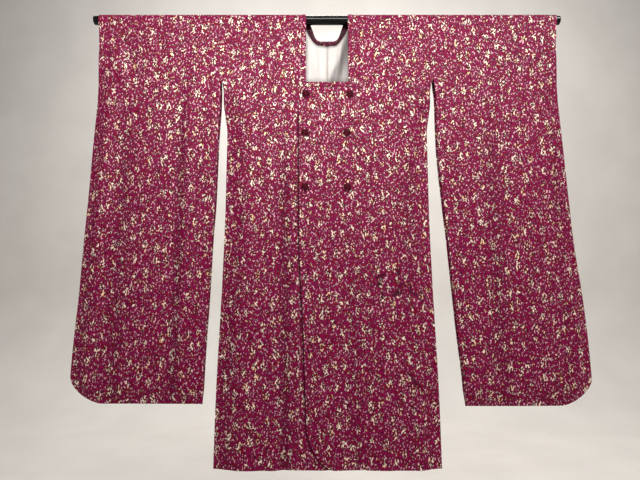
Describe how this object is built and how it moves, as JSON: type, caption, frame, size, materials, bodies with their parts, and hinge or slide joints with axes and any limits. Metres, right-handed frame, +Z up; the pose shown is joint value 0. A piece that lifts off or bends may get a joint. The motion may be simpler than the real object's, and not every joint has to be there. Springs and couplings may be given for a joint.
{
  "type": "kimono coat on a rod",
  "caption": "Long-sleeved square-necked kimono coat of flecked magenta silk with knotted fastenings and a white lining, hanging flat on a plain round rod.",
  "frame": {"origin": "middle of the rod's axis, where the coat is held", "axes": "+X towards the wearer's left along the rod, +Y towards the back, +Z up"},
  "size_m": [1.3875, 0.052, 1.2574],
  "materials": {
    "rod": "gloss black lacquer",
    "cloth": "crimson and magenta silk with dense gold and cream flecks",
    "lining": "smooth off-white silk",
    "knot_cord": "dark wine corded silk"
  },
  "bodies": {
    "root": {"rod": "rod", "body_left": "cloth", "body_right": "cloth", "overlap_left": "cloth", "overlap_right": "cloth", "collar": "cloth", "lining_back_left": "lining", "lining_back_right": "lining", "sleeve_left": "cloth", "sleeve_right": "cloth", "knot_upper_left": "knot_cord", "knot_upper_right": "knot_cord", "knot_middle_left": "knot_cord", "knot_middle_right": "knot_cord", "knot_lower_left": "knot_cord", "knot_lower_right": "knot_cord"}
  },
  "joints": []
}
